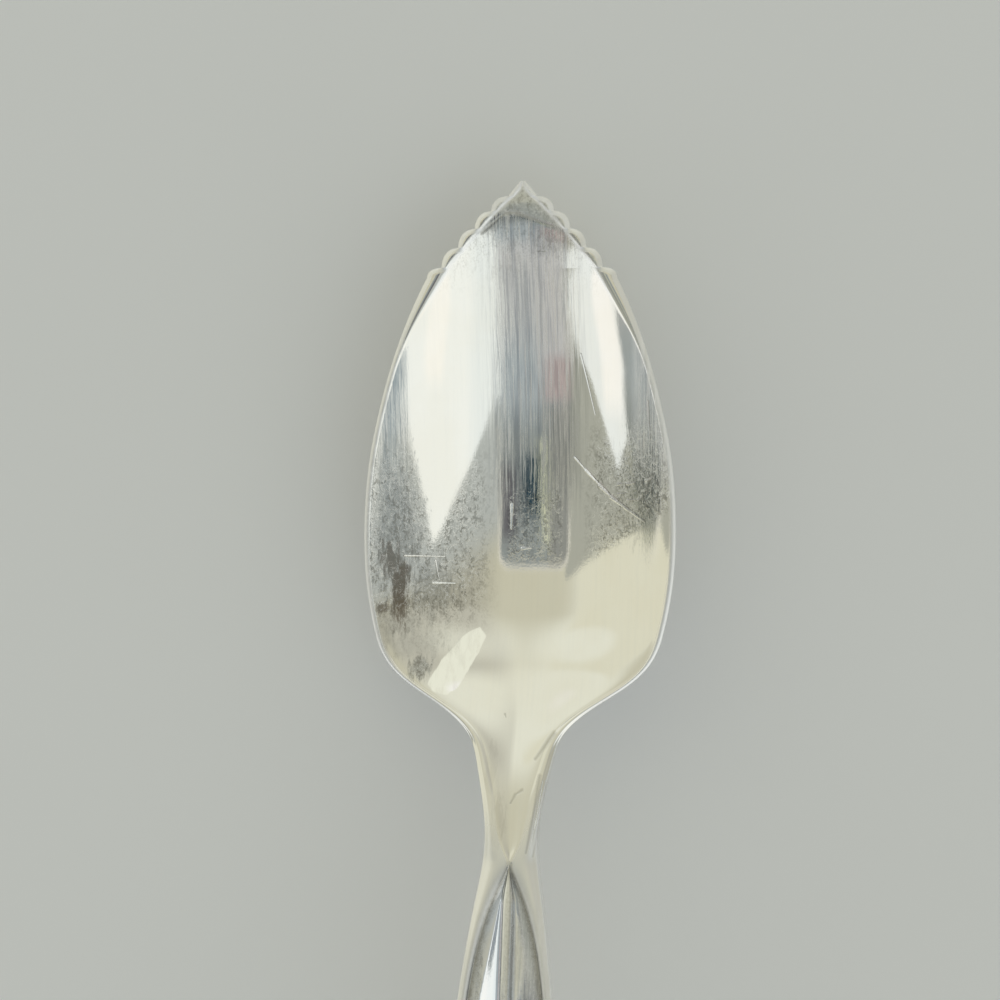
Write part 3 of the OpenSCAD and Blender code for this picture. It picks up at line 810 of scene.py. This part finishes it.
# Patches: amount, reach across, and the stretches along which they come in and go out
RIGHT_HAZE = 0.4, (9.2, 10), (10, 14), (22, 28)
EDGE_STREAKS = 0.55, (9.6, 10.4), (10, 14), (24, 28)
LEFT_SPECKS = 1, (2.0, 5.5), (21, 27), (36.5, 40)
FOOT_SPECKS = 0.8, (-2.0, -1.6), (25, 28), (32.8, 33.3)
FOOT_END = 2.9, 3.3
# The right specks go out at a slanted edge through the place (SLANT_X, SLANT_S)
RIGHT_SPECKS = 1, (4.4, 7), (19, 24)
SLANT_X = 4.26
SLANT_S = 34
SLANT = -0.637
SLANT_EDGE = -0.8, 0.3
# Specks on the handle and at the point
HANDLE_SPECKS = 0.15
HANDLE_SPECKS_X = 0.2, 0.7
HANDLE_SPECKS_IN = 59, 62
HANDLE_SPECKS_FADE = 0.7
HANDLE_SPECKS_OUT = 72, 95
FACET_SPECKS = 0.6
FRONT_SPECKS = 0.45
FRONT_OUT = 4, 11
# Places without specks, as tip, left slope and right slope
CLEAN_WEDGES = [((-8.1, 31.6), 0.2025, 0.453), ((8.2, 24.9), 0.322, 0.307)]
WEDGE_SOFT = 0.15
WEDGE_TIP_SOFT = 0.2
# Leaning face of the left flute: its patch and the line of its outer edge
LEANING = 1, (0.36, 0.48), (60.3, 61.5), (85, 105)
LEAN_X = 0.6
LEAN_S = 60.6
LEAN_SLOPE = 0.175
LEAN_BORDER = 0.45
LEAN_SOFT = 0.08
# How far the shading of the left flute's face, the scratches and the bright patch low in the bowl leans
FLUTE_TURN = (0.44, -0.27, 0)
SCRATCH_TURN = (-0.06, -0.22, 0)
GLINT_TURN = (0, 0.16, 0)
# Noises of the metal, in the order in which they are used: grain in mm, detail, roughness and distortion
GRAINS = {
    "cloud": (9, 4, 0.55),
    "streak": ((0.28, 9, 9), 3, 0.6),
    "fine streak": ((0.16, 6, 6), 3, 0.7),
    "wide streak": ((0.42, 14, 14), 3, 0.65),
    "speck": ((0.14, 0.2, 0.2), 2, 0.6),
    "blot": ((0.42, 0.6, 0.6), 3, 0.6, 0.6),
    "smear": ((0.6, 2.5, 2.5), 3, 0.6),
    "curl": ((0.8, 0.62, 0.62), 2, 0.5, 1.2),
}
WAVE_GRAIN = (3, 5, 5), 1, 0.4
# Values of the noises at which each kind of wear starts and is full
TARNISHED_AT = 0.42, 0.68
GREY_STREAK_AT = 0.45, 0.75
SCUFF_AT = 0.46, 0.62
DARK_STREAK_AT = 0.46, 0.64
THIN_STREAK_AT = 0.50, 0.36
PATCHY_AT = 0.30, 0.60
GRAIN_AT = 0.46, 0.60
PALE_AT = 0.58, 0.46
SHINE_AT = 0.35, 0.55
SWIRL_W = 0.05
SPECK_SHARE = 0.45
GROOVE_DIRT = 0.7
# Lines, ragged patches and the glint
LINE_TAPER = 0.6
LINE_SHARP = 2.2
RAG_GRAIN = (0.35, 1.8, 1.8), 5, 0.75
RAG_SWING = 3.0
PATCH_EDGE = 0.35, 1.05
GLINT_RAG = 0.5
GLINT_SOFT = 0.09
# Roughness of the polish, and what streaks and scratches add
POLISH_ROUGH = 0.02
STREAK_ROUGH = 0.03
MARK_ROUGH = 0.14
# Relief: full heights in mm, and shares of them
WAVE_H = 0.010
HAIR_H = 0.0018
CUT_H = 0.035
BRUSHED_HAIR = 5.0
PLAIN_HAIR = 0.6
GRAIN_DEPTH = 0.12
CREASE_DEPTH = 0.35
SPECK_HEIGHT = 0.05
# Colours of the metal and its wear, and of the painted highlight and shade
SILVER = (0.93, 0.915, 0.875, 1)
TARNISH = (0.86, 0.81, 0.70, 1)
GREY_STREAK = (0.74, 0.75, 0.76, 1)
DARK_STREAK = (0.50, 0.51, 0.52, 1)
PANEL_SILVER = (0.92, 0.93, 0.955, 1)
FACET_GREY = (0.84, 0.84, 0.82, 1)
LAND_PALE = (0.98, 0.98, 0.99, 1)
TARNISH_GREY = (0.45, 0.46, 0.46, 1)
BROWN_TARNISH_AND_SHADE = (0.22, 0.185, 0.15, 1)
SPECK_DARK = (0.30, 0.29, 0.26, 1)
GROOVE_GRIME_AND_SHADE = (0.32, 0.31, 0.28, 1)
PAINTED_HIGHLIGHT = (0.99, 0.98, 0.94, 1)
EDGE_HIGHLIGHT = (0.97, 0.96, 0.95, 1)

# Light of the room on the slope map, where a direction stands at (x, y) / (1 + z). Each panel has its
# corners, the softness of its edge, its colour, and the tints that lie inside it.
DOME = (0.79, 0.80, 0.69, 1)
HORIZON = (0.88, 0.88, 0.84, 1)
HORIZON_AT = 0.92, 1.0
LEAST_LIFT = 0.05
PANELS = [
    ([(-0.44, -0.60), (1.6, -0.60), (1.6, 0.46), (-0.44, 0.46)], 0.17, (0.585, 0.575, 0.455, 1), ()),
    ([(-1.6, -0.30), (-0.42, -0.30), (-0.44, 0.55), (-1.6, 0.55)], 0.045, (0.73, 0.725, 0.59, 1), ()),
    ([(0.20, 0.0), (1.6, 0.0), (1.6, 0.60), (0.20, 0.60)], 0.14, (0.42, 0.415, 0.345, 1), (
        ([(0.0, 0.26), (1.6, 0.26), (1.6, 0.9), (0.0, 0.9)], 0.08, (0.52, 0.515, 0.44, 1)),
    )),
    ([(-1.6, -0.9), (-0.33, -0.9), (-0.33, 0.125), (-1.6, -0.155)], 0.007, (0.41, 0.42, 0.365, 1), ()),
    ([(-0.1, -0.9), (1.6, -0.9), (1.6, 0.25), (0.75, 0.16), (-0.1, 0.02)], 0.05, (0.46, 0.49, 0.47, 1), ()),
    ([(0.80, -0.9), (1.6, -0.9), (1.6, 0.1), (0.78, 0.05)], 0.03, (0.37, 0.43, 0.455, 1), ()),
    ([(0.122, -0.18), (0.122, -0.9), (0.86, -0.9), (0.79, -0.178), (0.565, 0.053)],
     0.005, (0.86, 0.91, 0.89, 1), (
        ([(0.34, -0.9), (1.5, -0.9), (1.5, 0.2), (0.34, 0.2)], 0.06, (0.93, 0.96, 0.92, 1)),
        ([(0.46, -0.9), (0.70, -0.9), (0.66, -0.20), (0.54, -0.20)], 0.03, (1.0, 1.0, 0.94, 1)),
    )),
    ([(-0.769, -0.054), (-0.93, -0.145), (-1.3, -0.55), (-1.2, -0.95), (-0.38, -0.95), (-0.38, -0.345)],
     0.005, (0.86, 0.90, 0.88, 1), (
        ([(-0.93, -0.95), (-0.66, -0.95), (-0.68, -0.15), (-0.86, -0.15)], 0.03, (1.0, 1.0, 0.96, 1)),
    )),
    ([(-0.368, -0.12), (0.138, -0.12), (0.136, 0.073), (0.127, 0.094), (0.080, 0.1075), (-0.293, 0.1075),
      (-0.346, 0.094), (-0.365, 0.06)], 0.004, (0.70, 0.69, 0.61, 1), ()),
    ([(-0.465, -0.9), (0.122, -0.9), (0.122, 0.07), (0.116, 0.088), (0.074, 0.102), (-0.289, 0.102),
      (-0.337, 0.088), (-0.350, 0.06), (-0.392, -0.25)], 0.006, (0.54, 0.55, 0.55, 1), (
        ([(-0.7, -0.20), (0.3, -0.20), (0.3, 0.3), (-0.7, 0.3)], 0.07, (0.28, 0.31, 0.305, 1)),
        ([(-0.15, -0.30), (0.13, -0.30), (0.13, -0.13), (-0.15, -0.13)], 0.05, (0.40, 0.45, 0.47, 1)),
        ([(-0.43, -0.262), (-0.20, -0.262), (-0.18, -0.165), (-0.41, -0.165)], 0.015, (0.46, 0.395, 0.385, 1)),
        ([(-0.6, -0.15), (-0.20, -0.15), (-0.20, 0.12), (-0.6, 0.12)], 0.012, (0.28, 0.29, 0.27, 1)),
        ([(0.01, -0.06), (0.115, -0.06), (0.11, 0.06), (0.01, 0.06)], 0.02, (0.14, 0.14, 0.15, 1)),
        ([(-0.133, -0.075), (-0.030, -0.075), (-0.028, 0.025), (-0.138, 0.025)], 0.010, (0.03, 0.06, 0.08, 1)),
        ([(-0.202, 0.068), (-0.176, -0.10), (-0.138, -0.10), (-0.157, 0.068)], 0.006, (0.60, 0.62, 0.46, 1)),
    )),
]
FLOOR_W = 2.4
FLOOR_PAINT = (0.86, 0.87, 0.89, 1)
FLOOR_CLOUDS = 0.97
FLOOR_GRAIN = 40, 3, 0.5
FLOOR_ROUGH = 0.7

# Camera: how it leans and turns, the point it looks at, its distance from there and the width it takes in
CAMERA_LEAN = 7.6
CAMERA_ROLL = 0.41
CAMERA_AIM = (-1.64, 47.41, 8)
CAMERA_AWAY = 225
SEEN_W = 86.12
SENSOR_W = 36

# Scratches, lightened with painted highlight, and creases, darkened with painted shade: from, to and half
# width, as x and distance from the tip
BOWL_SCRATCHES = [
    ((4.2, 23.8), (5.2, 24.9), 0.14), ((5.2, 24.9), (6.5, 26.2), 0.20), ((6.5, 26.2), (7.6, 27.25), 0.24),
    ((7.6, 27.25), (8.8, 28.1), 0.23), ((8.8, 28.1), (10.6, 29.3), 0.17),
    ((8.2, 26.15), (8.6, 26.1), 0.14), ((9.1, 26.1), (9.7, 26.0), 0.16), ((10.8, 25.8), (11.3, 25.6), 0.16),
    ((8.2, 27.0), (8.9, 26.9), 0.10), ((9.1, 27.5), (10.2, 27.5), 0.10),
    ((11.0, 19.0), (11.15, 22.4), 0.10), ((4.85, 14.8), (6.1, 20.1), 0.09),
    ((-10.3, 32.5), (-7.1, 32.6), 0.09), ((-8.0, 34.9), (-6.2, 34.95), 0.12),
    ((-7.85, 32.9), (-7.5, 34.7), 0.07),
    ((-1.45, 28.0), (-1.5, 30.1), 0.16), ((-0.5, 31.85), (0.3, 31.8), 0.14),
]
BOWL_SHADED_CREASES = [
    ((-1.15, 46.1), (-1.05, 46.35), 0.13), ((1.2, 6.0), (2.0, 6.0), 0.07), ((3.34, 47.5), (1.83, 49.65), 0.34),
    ((-3.55, 4.5), (-1.5, 2.75), 0.2), ((-1.5, 2.75), (-0.6, 2.7), 0.25), ((-0.6, 2.7), (2.6, 3.9), 0.3),
]
NECK_SHADED_CREASES = [
    ((3.34, 47.5), (1.83, 49.65), 0.34), ((0.85, 52.2), (0.25, 52.6), 0.2), ((0.25, 52.6), (-0.1, 53.3), 0.2),
    ((2.3, 51.0), (1.85, 54.6), 0.25), ((1.85, 54.6), (1.4, 57.3), 0.22), ((2.9, 51.5), (2.45, 54.8), 0.2),
    ((2.45, 54.8), (1.95, 57.6), 0.2),
]
NECK_SCRATCHES = [((2.6, 51.4), (2.15, 54.6), 0.05), ((2.15, 54.6), (1.65, 57.3), 0.05)]
HANDLE_SHADED_CREASES = [((0.22, 58.2), (0.22, 60.5), 0.12)]
# Corners of the bright patch low in the bowl, most likely a finger's reflection in the photograph
BOWL_GLINT = [
    (-3.94, 38.77), (-3.36, 39.54), (-3.76, 40.73), (-4.45, 42.23), (-5.26, 43.88), (-6.1, 44.44),
    (-7.21, 44.19), (-7.86, 43.52), (-7.52, 42.78), (-6.96, 41.7), (-5.87, 40.28), (-4.75, 39.11),
]
# Grey and brown tarnish, and brown painted shade beside the neck's tongue: centre, size and strength
BOWL_TARNISH = [
    ((-10.9, 30.5), (2.2, 7.0), 0.9), ((-8.0, 35.5), (2.6, 3.4), 0.7), ((8.8, 27.0), (4.0, 4.5), 0.2),
    ((2.3, 5.2), (1.6, 1.5), 0.6), ((-8.6, 42.2), (1.1, 1.3), 1.0), ((-10.4, 38.3), (2.0, 1.6), 0.5),
    ((-8.8, 40.0), (3.2, 1.6), 0.3),
]
BOWL_BROWN = [
    ((-3.2, 4.0), (1.4, 0.7), 0.3), ((-0.5, 3.2), (2.0, 0.5), 0.15),
    ((-10.5, 35.6), (0.9, 3.4), 1.0), ((-11.4, 32.8), (1.0, 2.0), 0.8), ((-11.9, 37.0), (1.0, 0.6), 0.8),
]
# Soft painted shade in brown beside the tongue's left edge
NECK_BROWN_SHADE = [
    ((-1.1, 55.0), (0.8, 2.8), 0.16), ((-1.9, 50.5), (0.6, 3.0), 0.10), ((-1.6, 57.6), (0.9, 1.0), 0.08),
]
HANDLE_TARNISH = [
    ((0.15, 65.5), (0.5, 9.0), 0.2), ((1.4, 64.5), (1.1, 5.0), 0.15), ((1.9, 71.0), (1.2, 5.5), 0.2),
    ((-2.3, 66.0), (0.35, 5.0), 0.5), ((-3.4, 67.0), (0.5, 4.0), 0.25),
    ((2.6, 84.0), (1.5, 7.0), 0.35), ((-2.4, 97.0), (1.6, 6.0), 0.3), ((3.0, 112.0), (1.8, 8.0), 0.3),
]

SCRATCH_AND_SHADE_LINE = line_group()
POINTS = skin()
NORMALS = unit_normals(POINTS)
MARKS = marks(POINTS)
_, FIRST_NECK_RING, FIRST_HANDLE_RING = stations()
# Each node's first ring, the ring after its last, and its material
RUNS = {
    "bowl": (0, FIRST_NECK_RING + 1,
             silver("silver_bowl", BOWL_SCRATCHES, BOWL_SHADED_CREASES, BOWL_TARNISH, BOWL_BROWN, BOWL_GLINT)),
    "neck": (FIRST_NECK_RING, FIRST_HANDLE_RING + 1,
             silver("silver_neck", NECK_SCRATCHES, NECK_SHADED_CREASES, browns=NECK_BROWN_SHADE)),
    "handle": (FIRST_HANDLE_RING, len(POINTS),
               silver("silver_handle", shaded_creases=HANDLE_SHADED_CREASES, patches=HANDLE_TARNISH)),
}
for node, (first, last, material) in RUNS.items():
    part = make_piece(node + "_silver", POINTS[first:last], NORMALS[first:last],
                      {key: value[first:last] for key, value in MARKS.items()})
    part.data.materials.append(material)
    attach(part, "root")
    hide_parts(node)

make_world()
make_floor()
make_camera()
bpy.context.scene.view_settings.view_transform = "Standard"
